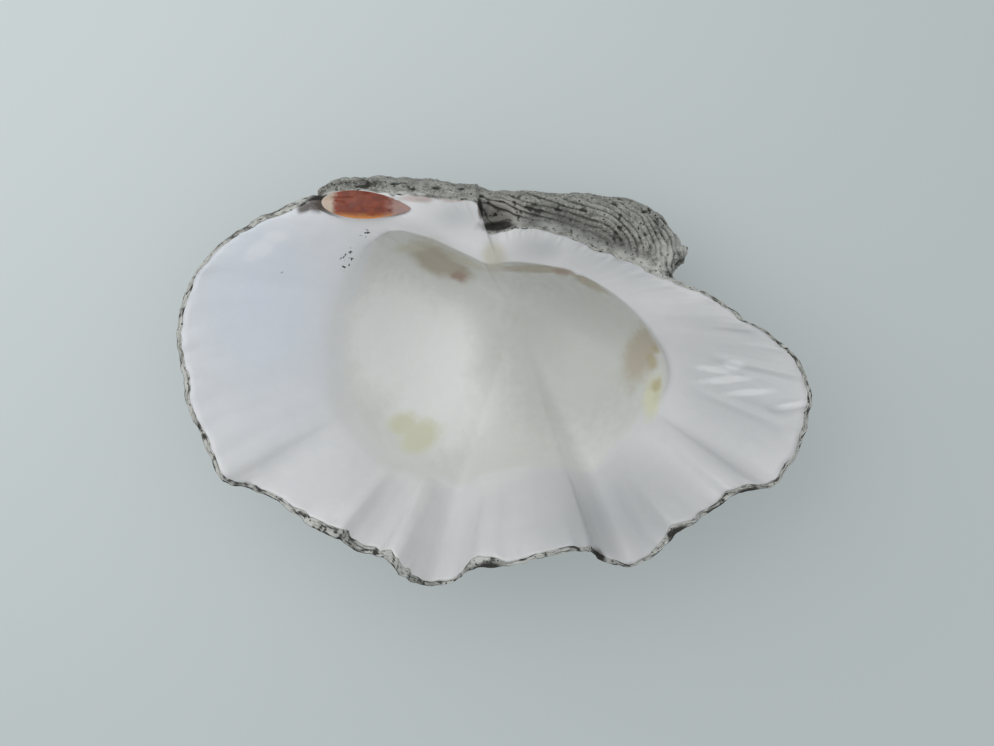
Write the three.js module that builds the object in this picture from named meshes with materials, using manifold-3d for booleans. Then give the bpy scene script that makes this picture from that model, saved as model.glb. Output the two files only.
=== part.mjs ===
// One valve of an elongate giant clam, lying on its back with the hollow up,
// and the dried ligament in its hinge groove. Millimetres, +Z up,
// +X towards the byssal (anterior) end, +Y towards the hinge.
import * as THREE from 'three';
import { mergeVertices } from 'three/addons/utils/BufferGeometryUtils.js';
import Module from 'manifold-3d';

const wasm = await Module();
wasm.setup();

// ---- driving dimensions ----

const rimSteps = 112;                 // stations round the margin
const outerRings = 18;                // rings from the margin down to the lowest point
const innerRings = 5;                 // rings from the margin in to the pallial line
const cavityRings = 6;                // rings from the pallial line to the middle of the floor

const bodyCentre = [-4, 32];          // the outer surface is lowest under this point
const cavityCentre = [10, 35];        // the inner folds all run towards this point
const beak = [8.5, 84, -4];           // where the outside ribs start
const outerDepth = 78;                // below the plane in which two valves meet
const floorDepth = 68;                // the same, at the middle of the hollow
const edgeDrop = 1.3;                 // the broken edge slopes down this much outwards
const restingHeight = 77;             // the lowest bumps are worn flat at this depth
const touchingGap = 0.3;              // ligament to shell
const smoothingReach = 8;             // stations over which the margin's folds are averaged out
const pallialSteps = 400;             // samples of the pallial line
const firstRingBunching = 1.15;       // over 1 crowds the outer rings towards the margin

// The margin, from the anterior tip over the hinge and round: x, y, height.
const margin = [
  // anterior tip to the byssal notch
  [149, 0, 0], [143, 13, -2], [131, 23.5, -5], [118, 32, -7], [108, 39.5, -9], [93, 47, -13],
  [74, 56, -16], [55, 64, -16], [36, 71, -14], [22, 74.5, -12], [10, 76.5, -9], [-1, 72.5, -8],
  // beak and hinge line
  [-5.5, 80, -5], [-8, 86.5, -3], [-21, 88.5, -1], [-44, 90.5, 0], [-68, 92.5, -1], [-82, 91, -2],
  // posterior end
  [-100.5, 84.5, -2], [-112.5, 79, -1.5], [-124, 71.5, -1], [-134.5, 62.5, 0], [-143, 52, 0],
  [-148, 40, 1], [-150, 27, 2], [-149, 13, 3], [-147, 0, 4], [-144.5, -12, 5], [-138, -25, 6],
  // first crest and the shallow lobe after it
  [-134.5, -35, 7], [-129.5, -43.5, 8], [-124, -48, 0], [-115, -50.5, -5], [-105, -55, -4],
  [-93, -63, 2], [-84, -69, 8],
  // second crest, small lobe, third crest
  [-76.5, -72, 12], [-71.5, -75, 3], [-64, -80, -3], [-57, -81.5, -2], [-52.5, -82, 6], [-48, -86, 11],
  // the deepest lobe
  [-43, -92, 1], [-37, -95.5, -8], [-30, -97.2, -14], [-22, -95.5, -12], [-15, -91.5, -4],
  [-8.5, -87, 6],
  // the broad middle crest
  [3, -85.5, 12], [21.5, -81.5, 15], [38, -78.5, 13.5], [45, -78.5, 9],
  // fourth lobe and crest
  [50, -84, -2], [57, -86.5, -9], [64, -87.2, -12], [71.5, -84.5, -9], [80, -77.5, 1], [86.5, -69.5, 9],
  [93, -66.5, 10], [101, -61, 5],
  // last small folds
  [108, -56, 2], [115, -51.5, 6], [123, -49.5, 3], [131, -49, -2], [138.5, -41, -3], [143, -32, -1],
  [147, -20, 1], [150, -10, 2],
];

// The pallial line, where the thin flange ends and the deep hollow starts.
const pallialLine = [
  [84, 1, -33], [83, 13, -32], [75.5, 25.5, -30], [63.5, 38.5, -27], [51, 47.5, -25], [39, 53.5, -23],
  [24.5, 57, -20], [8, 58.5, -15], [-2, 57, -11], [-11.5, 60.5, -9], [-26, 67.5, -8], [-36, 71, -8],
  [-48, 73, -9], [-62, 66, -18], [-69.5, 52, -28], [-75.5, 35, -34], [-78.5, 16, -36], [-77, -6, -35],
  [-69.5, -23, -34], [-57, -36, -34], [-40.5, -42, -39], [-26, -50.5, -43], [-18.5, -54, -44],
  [-7, -48, -39], [12.5, -43.5, -35], [32, -43.5, -34], [47.5, -45.5, -40], [56, -37.5, -39],
  [68, -24, -36], [78, -11, -35],
];

// Where the closed side is widest, from the anterior slope over the umbo to the posterior end: x, y.
const umboOutline = [
  [91, 47.5], [92, 54], [91.5, 64.5], [87, 73], [81.5, 81], [74, 87], [64, 90.5], [53.5, 91.5],
  [42.5, 93], [32.5, 92], [24.5, 92.5], [7.5, 94], [-0.5, 94], [-8.5, 96], [-18, 96.5], [-26.5, 98],
  [-36, 98.5], [-45.5, 98.5], [-57.5, 98], [-67.5, 96], [-79, 94], [-88.5, 89.5],
];

// Slow changes round the body: [degrees from +X at bodyCentre, value].
const hillRound = [         // how far it rises again outside the byssal notch
  [0, 0], [14, 0], [28, 6], [45, 8], [72, 7], [92, 2], [103, 0.5], [140, 0], [360, 0],
];
const widestRound = [       // height of the widest line of the closed, dorsal side
  [0, -28], [14, -34], [45, -34], [87, -30], [116, -20], [150, -16], [190, -16], [340, -24], [360, -28],
];
const closedRound = [       // 1 where the side is closed and round, 0 where it flares open
  [0, 0], [18, 1], [137, 1], [175, 0], [360, 0],
];
const flareRound = [        // power of the open side's profile
  [0, 2.2], [45, 2], [190, 1.6], [234, 2.3], [271, 2.7], [312, 2.7], [345, 2.5], [360, 2.2],
];
const edgeRound = [         // width of the broken edge seen beside the smooth inside
  [0, 1.6], [96, 1.2], [150, 1.2], [190, 1.8], [225, 2], [237, 4], [247, 4.5], [255, 2], [295, 2.2],
  [360, 1.6],
];
const stepRound = [         // drop at the pallial line
  [0, 3.5], [23, 5], [72, 7], [103, 13], [134, 13], [150, 4], [175, 0.4], [326, 0.4], [341, 2],
  [360, 3.5],
];
const undercutRound = [     // how far that drop is hollowed back
  [0, 1], [23, 2], [72, 3], [103, 5], [134, 5], [150, 1], [175, 0], [326, 0], [350, 0.8], [360, 1],
];
const shelfRound = [        // power of the flange's fall: high where it is a level plate
  [0, 1.2], [45, 1.6], [84, 2.6], [129, 3], [150, 1.6], [175, 1.1], [360, 1.2],
];
const wallRound = [         // power of the hollow's wall: high where it is steep
  [0, 2.8], [45, 3.4], [129, 3.6], [170, 2.8], [360, 2.8],
];

// Bumps of the outside near the beak: x, y, half-width in x and y, height.
const beakBumps = [
  [0, 79.5, 9, 6, -11],               // the dark pocket in front of the beak
  [14, 90, 30, 6, 6],                 // the umbo's ridge above it
];

const ligament = { x: -60.5, y: 84, z: -0.9, length: 42, width: 13, depth: 5.4, crown: 1.8, turn: -4 };

// ---- small helpers ----

const radians = Math.PI / 180;

// 0 at low, 1 at high, eased between; low may be the larger of the two.
function smooth(low, high, value) {
  const k = Math.min(1, Math.max(0, (value - low) / (high - low)));
  return k * k * (3 - 2 * k);
}

function mix(a, b, k) {
  return a + (b - a) * k;
}

// Value at a direction, from a list of [degrees, value], by a curve that never overshoots.
function roundValue(list, degrees) {
  const d = (degrees + 360) % 360;
  const next = Math.max(1, list.findIndex((entry) => entry[0] >= d));
  const gap = (i) => list[i + 1][0] - list[i][0];
  const slope = (i) => (list[i + 1][1] - list[i][1]) / gap(i);
  const tangent = (i) => {
    if (i === 0 || i === list.length - 1) return 0;
    const [before, after] = [slope(i - 1), slope(i)];
    return before * after > 0 ? 2 * before * after / (before + after) : 0;
  };
  const i = next - 1;
  const k = (d - list[i][0]) / gap(i);
  const rise = gap(i) * (tangent(i) * k * (1 - k) ** 2 - tangent(next) * k * k * (1 - k));
  return mix(list[i][1], list[next][1], k * k * (3 - 2 * k)) + rise;
}

function direction(x, y, centre) {
  return Math.atan2(y - centre[1], x - centre[0]) / radians;
}

function closedCurve(points) {
  return new THREE.CatmullRomCurve3(points.map((p) => new THREE.Vector3(...p)), true, 'centripetal');
}

// Mean of a closed list about entry i, weighted over the neighbours within reach.
function around(list, i, reach, value) {
  let sum = 0;
  let weight = 0;
  for (let k = -2 * reach; k <= 2 * reach; k++) {
    const w = Math.exp(-((k / reach) ** 2));
    sum += w * value(list[(i + k + list.length) % list.length]);
    weight += w;
  }
  return sum / weight;
}

// ---- the margin and what follows from it ----

const rim = closedCurve(margin).getSpacedPoints(rimSteps).slice(0, rimSteps);

// The margin without its folds, which the body of the shell follows.
const smoothRim = rim.map((point, i) => {
  const mean = new THREE.Vector3(...['x', 'y', 'z'].map(
    (axis) => around(rim, i, smoothingReach, (p) => p[axis])));
  const folded = 1 - roundValue(closedRound, direction(point.x, point.y, bodyCentre));
  return point.clone().lerp(mean, folded);
});

// Angle of a point away from the middle rib, seen from the beak.
function ribAngle(p) {
  return Math.atan2(p.x - beak[0], Math.hypot(p.y - beak[1], p.z - beak[2]));
}

// How far the margin's fold stands outwards from the body of the shell.
const foldHeight = rim.map((p, i) => {
  const base = smoothRim[i];
  const out = direction(base.x, base.y, bodyCentre) * radians;
  const outward = (p.x - base.x) * Math.cos(out) + (p.y - base.y) * Math.sin(out);
  return 0.6 * outward - 0.7 * (p.z - base.z);
});

// Each margin station that a rib can start from: angle, distance from the beak, height.
const ribs = rim.map((p, i) => ({
  angle: ribAngle(p),
  distance: Math.hypot(p.x - beak[0], p.y - beak[1], p.z - beak[2]),
  height: around(foldHeight, i, 1, (h) => h) * smooth(0.98, 0.8, ribAngle(p)),
  y: p.y,
})).filter((rib) => rib.y < 60 && rib.angle < 1).sort((a, b) => a.angle - b.angle);

// How high the rib stands at a point of the outside. It shrinks towards the beak.
function ribHeight(p) {
  const angle = ribAngle(p);
  const next = ribs.findIndex((rib) => rib.angle >= angle);
  if (next <= 0) return 0;
  const a = ribs[next - 1];
  const b = ribs[next];
  const k = (angle - a.angle) / Math.max(1e-6, b.angle - a.angle);
  const size = Math.hypot(p.x - beak[0], p.y - beak[1], p.z - beak[2]) / mix(a.distance, b.distance, k);
  return mix(a.height, b.height, k) * Math.min(1, size) * smooth(0.2, 0.6, size);
}

// ---- the outside ----

const umbo = umboOutline.map(([x, y]) => [
  direction(x, y, bodyCentre), Math.hypot(x - bodyCentre[0], y - bodyCentre[1])]);

// How far the closed side reaches from the body's centre line; nothing outside the umbo's outline.
function umboReach(degrees) {
  const next = umbo.findIndex((entry) => entry[0] >= degrees);
  if (next <= 0) return 0;
  const [a, b] = [umbo[next - 1], umbo[next]];
  return mix(a[1], b[1], (degrees - a[0]) / (b[0] - a[0]));
}

// Profile of the outside from the margin (t = 0) to the lowest point (t = 1):
// distance from the body's centre line and height.
function outerProfile(t, radius, height, degrees) {
  const turn = 0.35;
  const wide = Math.max(radius, umboReach(degrees));
  const widest = Math.min(height - 4, roundValue(widestRound, degrees));
  let closed;
  if (t < turn) {
    const q = t / turn * Math.PI / 2;
    const out = Math.sin(q);
    const hill = roundValue(hillRound, degrees) * 4 * out * (1 - out);
    closed = [mix(radius, wide, out), height + hill - (height - widest) * (1 - Math.cos(q))];
  } else {
    const q = (t - turn) / (1 - turn) * Math.PI / 2;
    closed = [wide * Math.cos(q) ** 0.9, widest - (outerDepth + widest) * Math.sin(q) ** 0.95];
  }
  const open = [radius * (1 - t), 0];
  open[1] = height - (height + outerDepth) * (1 - (1 - t) ** roundValue(flareRound, degrees));
  const k = roundValue(closedRound, degrees);
  return [mix(open[0], closed[0], k), mix(open[1], closed[1], k)];
}

function outerPoint(i, t) {
  const base = smoothRim[i];
  const degrees = direction(base.x, base.y, bodyCentre);
  const radius = Math.hypot(base.x - bodyCentre[0], base.y - bodyCentre[1]);
  const cos = Math.cos(degrees * radians);
  const sin = Math.sin(degrees * radians);
  const place = (profile) => new THREE.Vector3(
    bodyCentre[0] + profile[0] * cos, bodyCentre[1] + profile[0] * sin, profile[1]);
  const here = outerProfile(t, radius, base.z - edgeDrop, degrees);
  const step = 0.01;
  const ahead = outerProfile(Math.min(1, t + step), radius, base.z - edgeDrop, degrees);
  const behind = outerProfile(Math.max(0, t - step), radius, base.z - edgeDrop, degrees);
  const along = [ahead[0] - behind[0], ahead[1] - behind[1]];
  const length = Math.hypot(...along) || 1;
  const normal = new THREE.Vector3(-along[1] / length * cos, -along[1] / length * sin, along[0] / length);
  const point = place(here);
  for (const [x, y, a, b, height] of beakBumps) {
    const near = Math.exp(-(((point.x - x) / a) ** 2) - ((point.y - y) / b) ** 2);
    point.z += height * near * smooth(-45, -20, point.z) * smooth(0, 0.06, t);
  }
  const atMargin = 1 - smooth(0, 0.16, t);
  const fold = ribHeight(point) * (1 - atMargin) * smooth(0.95, 0.6, t);
  point.addScaledVector(normal, fold);
  point.x += (rim[i].x - base.x) * atMargin;
  point.y += (rim[i].y - base.y) * atMargin;
  point.z += (rim[i].z - base.z) * atMargin;
  point.z = Math.max(point.z, -restingHeight);
  return point;
}

// ---- the inside ----

const pallial = closedCurve(pallialLine).getSpacedPoints(pallialSteps).map((p) => ({
  point: p,
  degrees: (direction(p.x, p.y, cavityCentre) + 360) % 360,
})).sort((a, b) => a.degrees - b.degrees);

function pallialPoint(degrees) {
  const d = (degrees + 360) % 360;
  const next = pallial.findIndex((entry) => entry.degrees >= d);
  if (next <= 0) return pallial[0].point.clone();
  const a = pallial[next - 1];
  const b = pallial[next];
  return a.point.clone().lerp(b.point, (d - a.degrees) / Math.max(1e-6, b.degrees - a.degrees));
}

// The points of one station on the inside, from the lip to the ring nearest the middle.
function innerPoints(i) {
  const p = rim[i];
  const degrees = direction(p.x, p.y, bodyCentre);
  const toCentre = new THREE.Vector3(cavityCentre[0] - p.x, cavityCentre[1] - p.y, 0).normalize();
  const lip = p.clone().addScaledVector(toCentre, roundValue(edgeRound, degrees));
  const line = pallialPoint(direction(p.x, p.y, cavityCentre));
  const points = [];
  for (let k = 0; k <= innerRings; k++) {
    const v = k / innerRings;
    const point = lip.clone().lerp(line, v);
    point.z = mix(lip.z, line.z, v ** roundValue(shelfRound, degrees));
    points.push(point);
  }
  const drop = roundValue(stepRound, degrees);
  const under = roundValue(undercutRound, degrees);
  const foot = line.clone().addScaledVector(toCentre, -under);
  foot.z -= drop;
  const wall = roundValue(wallRound, degrees);
  for (let k = 0; k < cavityRings; k++) {
    const w = k / cavityRings;
    const depth = mix(foot.z, -floorDepth, 1 - (1 - w) ** wall);
    points.push(new THREE.Vector3(
      mix(foot.x, cavityCentre[0], w), mix(foot.y, cavityCentre[1], w), depth));
  }
  return points;
}

// ---- meshes ----

// Closes a stack of rings, each a list of points, with a point at either end.
function closedSurface(rings, first, last) {
  const steps = rings[0].length;
  const positions = [...first.toArray(), ...rings.flat().flatMap((p) => p.toArray()), ...last.toArray()];
  const at = (ring, i) => 1 + ring * steps + (i % steps);
  const end = 1 + rings.length * steps;
  const faces = [];
  for (let i = 0; i < steps; i++) {
    faces.push(0, at(0, i + 1), at(0, i));
    faces.push(end, at(rings.length - 1, i), at(rings.length - 1, i + 1));
    for (let ring = 0; ring + 1 < rings.length; ring++) {
      faces.push(at(ring, i), at(ring, i + 1), at(ring + 1, i + 1));
      faces.push(at(ring, i), at(ring + 1, i + 1), at(ring + 1, i));
    }
  }
  const geometry = new THREE.BufferGeometry();
  geometry.setAttribute('position', new THREE.Float32BufferAttribute(positions, 3));
  geometry.setIndex(faces);
  return geometry;
}

function shellGeometry() {
  const rings = [];
  for (let k = outerRings - 1; k >= 1; k--) {
    rings.push(rim.map((_, i) => outerPoint(i, (k / outerRings) ** firstRingBunching)));
  }
  rings.push(rim.map((p) => new THREE.Vector3(p.x, p.y, p.z - edgeDrop)));
  const inside = rim.map((_, i) => innerPoints(i));
  for (let k = 0; k < inside[0].length; k++) {
    rings.push(inside.map((points) => points[k]));
  }
  const bottom = new THREE.Vector3(bodyCentre[0], bodyCentre[1], -restingHeight);
  const floor = new THREE.Vector3(cavityCentre[0], cavityCentre[1], -floorDepth);
  return closedSurface(rings, bottom, floor);
}

// A drop-shaped lens, blunt towards -X: a bowl below, a low crown above.
function lensGeometry({ x, y, z, length, width, depth, crown, turn }, grow) {
  const steps = 28;
  const levels = 5;
  const rings = [];
  const ring = (scale, height) => Array.from({ length: steps }, (_, i) => {
    const a = i / steps * 2 * Math.PI;
    const across = Math.sin(a) * (width / 2 + grow) * (1 - 0.25 * Math.cos(a) - 0.2 * Math.cos(a) ** 2);
    return new THREE.Vector3(Math.cos(a) * (length / 2 + grow) * scale, across * scale, height);
  });
  for (let k = 1; k < levels; k++) {
    rings.push(ring(Math.sqrt(k / levels), -(depth + grow) * (1 - k / levels)));
  }
  rings.push(ring(1, 0));
  for (let k = levels - 1; k >= 1; k--) {
    rings.push(ring(Math.sqrt(k / levels), (crown + grow) * (1 - k / levels)));
  }
  const geometry = closedSurface(rings,
    new THREE.Vector3(0, 0, -depth - grow), new THREE.Vector3(0, 0, crown + grow));
  return geometry.rotateZ(turn * radians).translate(x, y, z);
}

function toSolid(geometry) {
  const bare = geometry.clone();
  bare.deleteAttribute('normal');
  bare.deleteAttribute('uv');
  const merged = mergeVertices(bare, 1e-4);
  return new wasm.Manifold(new wasm.Mesh({
    numProp: 3,
    vertProperties: new Float32Array(merged.attributes.position.array),
    triVerts: new Uint32Array(merged.index.array),
  }));
}

function toGeometry(solid) {
  const mesh = solid.getMesh();
  const geometry = new THREE.BufferGeometry();
  geometry.setAttribute('position', new THREE.Float32BufferAttribute(mesh.vertProperties, 3));
  geometry.setIndex(Array.from(mesh.triVerts));
  geometry.computeVertexNormals();
  return geometry;
}

// ---- the part ----

const valveGeometry = shellGeometry();
const group = new THREE.Group();

const valveSolid = toSolid(valveGeometry).subtract(toSolid(lensGeometry(ligament, touchingGap)));
const shell = new THREE.Mesh(
  toGeometry(valveSolid),
  new THREE.MeshStandardMaterial({ color: 0xe6e8ec, roughness: 0.45, metalness: 0 }));
shell.name = 'valve';
group.add(shell);

const band = new THREE.Mesh(
  lensGeometry(ligament, 0),
  new THREE.MeshStandardMaterial({ color: 0xb0552a, roughness: 0.4, metalness: 0 }));
band.name = 'ligament';
group.add(band);

// The origin goes to the middle of the whole part's box, at its lowest height.
const box = new THREE.Box3().setFromObject(group);
const middle = box.getCenter(new THREE.Vector3());
for (const mesh of group.children) {
  mesh.geometry.translate(-middle.x, -middle.y, -box.min.z);
}

export default group;
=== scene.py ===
# A single giant clam valve with its dried ligament, on a pale table.
import math

import bpy
import numpy as np
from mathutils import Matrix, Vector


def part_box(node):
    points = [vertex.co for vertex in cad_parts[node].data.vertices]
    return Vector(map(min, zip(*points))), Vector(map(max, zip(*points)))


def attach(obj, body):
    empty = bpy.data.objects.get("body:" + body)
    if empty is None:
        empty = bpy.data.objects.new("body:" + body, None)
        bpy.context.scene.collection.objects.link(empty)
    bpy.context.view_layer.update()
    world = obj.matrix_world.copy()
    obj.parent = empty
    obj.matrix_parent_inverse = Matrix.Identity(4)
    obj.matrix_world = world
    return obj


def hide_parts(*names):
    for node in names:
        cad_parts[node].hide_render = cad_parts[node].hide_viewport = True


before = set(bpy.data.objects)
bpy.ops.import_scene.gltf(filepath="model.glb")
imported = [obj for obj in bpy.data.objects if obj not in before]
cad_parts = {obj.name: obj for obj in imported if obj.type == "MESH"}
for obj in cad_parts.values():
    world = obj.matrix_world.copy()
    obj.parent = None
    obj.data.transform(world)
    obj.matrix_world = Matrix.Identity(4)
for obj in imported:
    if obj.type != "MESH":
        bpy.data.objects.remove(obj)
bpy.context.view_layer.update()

mm = 0.001

# How the valve is shaped. Plan positions are in mm from the middle of the two valves' meeting plane,
# +X to the byssal end, +Y to the hinge. Heights are from that plane.

shell = {
    "stations": 680,          # round the margin
    "umboCrowding": 1.5,      # how much closer they are over the hinge and umbo
    "outerRings": (54, 36),   # margin to the widest line, and on to the lowest point
    "edgeRings": 8,           # across the broken edge
    "flangeRings": 23,        # margin to the pallial line
    "cavityRings": 19,        # pallial line to the middle of the floor
    "bodyCentre": (-4, 32),   # the outside is lowest under this point
    "cavityCentre": (10, 35),     # the inner folds all run towards this point
    "beak": (8.5, 84, -4),    # where the outside ribs start
    "outerDepth": 78,         # the outside's lowest point, under the meeting plane
    "restingHeight": 77,      # the lowest bumps are worn flat at this depth
    "floorDepth": 68,         # the hollow's lowest point
    "edgeDrop": 1.3,          # the broken edge slopes down this much outwards
    "widestAt": 0.35,         # how far down the outside its widest line lies, 0 to 1
    "smoothing": 61,          # mm of margin that the body's shape averages over
    "ribSmoothing": 7.6,      # mm of margin that a fold's height averages over
    "floorSmoothing": 26,     # stations that the hollow's heights average over
    "notchSmoothing": (30, 40),   # the same by the notch: for the directions, for the hollow
    "softenPasses": 14,
    "marginSamples": 1120,
    "pallialSamples": 600,
}

# x, y and height of the margin, from the anterior tip over the hinge and round
margin = [
    # anterior tip to the byssal notch
    (149, 0, 0), (143, 13, -2), (131, 23.5, -5), (118, 32, -7), (108, 39.5, -9), (93, 47, -13),
    (74, 56, -16), (55, 64, -16), (36, 71, -14), (22, 75, -12), (11, 76.5, -9.5), (-2, 73.2, -8),
    # beak and hinge line
    (-6.9, 77.2, -6), (-7.6, 83, -4), (-9.5, 87.6, -2.5), (-21, 88.5, -1), (-44, 90.5, 0),
    (-68, 92.5, -1), (-82, 91, -2),
    # posterior end
    (-100.5, 84.5, -2), (-112.5, 79, -1.5), (-124, 71.5, -1), (-134.5, 62.5, 0), (-143, 52, 0),
    (-148, 40, 1), (-150, 27, 2), (-149, 13, 3), (-147, 0, 4), (-144.5, -12, 5), (-138, -25, 6),
    # first crest and the shallow lobe after it
    (-134.5, -35, 7), (-129.5, -43.5, 8), (-124, -48, 0), (-115, -50.5, -5), (-105, -55, -4),
    (-93, -63, 2), (-84, -69, 8),
    # second crest, small lobe, third crest
    (-76.5, -72, 12), (-71.5, -75, 3), (-64, -80, -3), (-57, -81.5, -2), (-52.5, -82, 6), (-48, -86, 11),
    # the deepest lobe
    (-43, -92, 1), (-37, -95.5, -8), (-30, -97.2, -14), (-22, -95.5, -12), (-15, -91.5, -4),
    (-8.5, -87, 6),
    # the broad middle crest
    (3, -85.5, 12), (21.5, -81.5, 15), (38, -78.5, 13.5), (45, -78.5, 9),
    # fourth lobe and crest
    (50, -84, -2), (57, -86.5, -9), (64, -87.2, -12), (71.5, -84.5, -9), (80, -77.5, 1), (86.5, -69.5, 9),
    (93, -66.5, 10), (101, -61, 5),
    # last small folds
    (108, -56, 2), (115, -51.5, 6), (123, -49.5, 3), (131, -49, -2), (138.5, -41, -3), (143, -32, -1),
    (147, -20, 1), (150, -10, 2),
]

# the pallial line, where the thin flange ends and the deep hollow starts
pallialLine = [
    (84, 1, -33), (83, 13, -32), (75.5, 25.5, -30), (63.5, 38.5, -27), (51, 47.5, -25), (39, 53.5, -23),
    (24.5, 57, -20), (8, 58.5, -15), (-2, 57, -11), (-11.5, 60.5, -9), (-26, 67.5, -8), (-36, 71, -8),
    (-48, 73, -9), (-62, 66, -18), (-69.5, 52, -28), (-75.5, 35, -34), (-78.5, 16, -36), (-77, -6, -35),
    (-69.5, -23, -34), (-57, -36, -34), (-40.5, -42, -39), (-26, -50.5, -43), (-18.5, -54, -44),
    (-7, -48, -39), (12.5, -43.5, -35), (32, -43.5, -34), (47.5, -45.5, -40), (56, -37.5, -39),
    (68, -24, -36), (78, -11, -35),
]

# where the closed side is widest, over the umbo from the anterior slope to the posterior end
umboOutline = [
    (91, 47.5), (92, 54), (91.5, 64.5), (87, 73), (81.5, 81), (74, 87), (64, 90.5), (53.5, 91.5),
    (42.5, 93), (32.5, 92), (24.5, 92.5), (7.5, 94), (-0.5, 94), (-8.5, 96), (-18, 96.5), (-26.5, 98),
    (-36, 98.5), (-45.5, 98.5), (-57.5, 98), (-67.5, 96), (-79, 94), (-88.5, 89.5),
]

# slow changes round the body: degrees from +X at the body's centre, value
around = {
    "hill": [(0, 0), (14, 0), (28, 6), (45, 8), (72, 7), (92, 2), (103, 0.5), (140, 0), (360, 0)],
    "widest": [(0, -28), (14, -34), (45, -34), (87, -30), (116, -20), (150, -16), (190, -16),
               (340, -24), (360, -28)],
    "closed": [(0, 0), (18, 1), (137, 1), (175, 0), (360, 0)],
    "flare": [(0, 2.2), (45, 2), (190, 1.6), (234, 2.3), (271, 2.7), (312, 2.7), (345, 2.5), (360, 2.2)],
    "edge": [(0, 2.6), (12, 3), (30, 1.9), (60, 1.4), (96, 1.3), (128, 1.2), (139, 1.6), (145, 4.6),
             (152, 4), (163, 2.4), (190, 2.7), (225, 3), (237, 5.6), (247, 5.6), (254, 3), (263, 2.6),
             (269, 6), (276, 2.6), (290, 2.6), (295, 4.6), (300, 2.4), (307, 2.4), (311.5, 5.2),
             (316, 2.4), (322, 2.4), (326, 4.6), (331, 2.4), (360, 2.6)],
    "soften": [(0, 0), (140, 0), (165, 1), (235, 1), (262, 0.4), (320, 0.4), (345, 0), (360, 0)],
    "step": [(0, 3.5), (23, 5), (72, 7), (103, 13), (134, 13), (150, 4), (175, 0.4), (326, 0.4),
             (341, 2), (360, 3.5)],
    "undercut": [(0, 1), (23, 2), (72, 3), (103, 5), (134, 5), (150, 1), (175, 0), (326, 0),
                 (350, 0.8), (360, 1)],
    "shelf": [(0, 1.2), (45, 1.6), (84, 2.6), (129, 3), (150, 1.6), (175, 1.1), (360, 1.2)],
    "wall": [(0, 2.8), (45, 3.4), (129, 3.6), (170, 2.8), (360, 2.8)],
}

# bumps of the outside near the beak: x, y, half-width in x and y, height
beakBumps = [
    (0, 79.5, 9, 6, -11),     # the dark pocket in front of the beak
    (14, 90, 30, 6, 6),       # the umbo's ridge above it
]


def smooth(low, high, value):  # eased 0 to 1 between low and high, in either order
    k = np.clip((value - low) / (high - low), 0, 1)
    return k * k * (3 - 2 * k)


def mix(a, b, k):
    return a + (b - a) * k


def roundValue(name, degrees):  # value at a direction, by a curve that never overshoots
    table = np.array(around[name], float)
    x, y = table[:, 0], table[:, 1]
    gap = np.diff(x)
    slope = np.diff(y) / gap
    tangent = np.zeros(len(x))
    same = slope[:-1] * slope[1:] > 0
    tangent[1:-1][same] = (2 * slope[:-1] * slope[1:])[same] / (slope[:-1] + slope[1:])[same]
    d = np.mod(degrees, 360)
    i = np.clip(np.searchsorted(x, d) - 1, 0, len(gap) - 1)
    k = (d - x[i]) / gap[i]
    rise = gap[i] * (tangent[i] * k * (1 - k) ** 2 - tangent[i + 1] * k * k * (1 - k))
    return mix(y[i], y[i + 1], k * k * (3 - 2 * k)) + rise


def direction(x, y, centre):  # degrees
    return np.degrees(np.arctan2(y - centre[1], x - centre[0]))


def closedCurve(points, perSpan=40):  # dense points of a round curve through the given ones
    p = np.array(points, float)
    p0, p1, p2, p3 = np.roll(p, 1, 0), p, np.roll(p, -1, 0), np.roll(p, -2, 0)
    d0, d1, d2 = [np.sqrt(np.linalg.norm(b - a, axis=1))[:, None] for a, b in ((p0, p1), (p1, p2), (p2, p3))]
    m1 = ((p1 - p0) / d0 - (p2 - p0) / (d0 + d1) + (p2 - p1) / d1) * d1
    m2 = ((p2 - p1) / d1 - (p3 - p1) / (d1 + d2) + (p3 - p2) / d2) * d1
    k = (np.arange(perSpan) / perSpan)[None, :, None]
    a, b, m, n = p1[:, None], p2[:, None], m1[:, None], m2[:, None]
    dense = a + m * k + (3 * b - 3 * a - 2 * m - n) * k ** 2 + (2 * a - 2 * b + m + n) * k ** 3
    return dense.reshape(-1, 3)


def spacedAlong(curve, where):  # points at the given shares, 0 to 1, of a closed curve's length
    loop = np.vstack([curve, curve[:1]])
    length = np.concatenate([[0], np.cumsum(np.linalg.norm(np.diff(loop, axis=0), axis=1))])
    at = np.mod(where, 1) * length[-1]
    return np.stack([np.interp(at, length, loop[:, k]) for k in range(loop.shape[1])], axis=-1)


def curveLength(curve):
    return np.linalg.norm(np.diff(np.vstack([curve, curve[:1]]), axis=0), axis=1).sum()


def averaged(values, reach):  # mean of a closed list over its neighbours, weighted
    steps = np.arange(-2 * reach, 2 * reach + 1)
    weights = np.exp(-(steps / reach) ** 2)
    total = sum(w * np.roll(values, -int(s), 0) for w, s in zip(weights, steps))
    return total / weights.sum()


bodyX, bodyY = shell["bodyCentre"]
beak = np.array(shell["beak"], float)
fineCount = shell["marginSamples"]
fineShare = np.arange(fineCount) / fineCount
marginCurve = closedCurve(margin)
marginLength = curveLength(marginCurve)
fineRim = spacedAlong(marginCurve, fineShare)
fineDegrees = direction(fineRim[:, 0], fineRim[:, 1], shell["bodyCentre"])
reach = int(round(shell["smoothing"] / marginLength * fineCount))
folded = 1 - roundValue("closed", fineDegrees)
fineBase = mix(fineRim, averaged(fineRim, reach), folded[:, None])


def ribAngle(p):  # angle away from the middle rib, seen from the beak
    return np.arctan2(p[..., 0] - beak[0], np.hypot(p[..., 1] - beak[1], p[..., 2] - beak[2]))


def fromBeak(p):
    return np.linalg.norm(p - beak, axis=-1)


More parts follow.
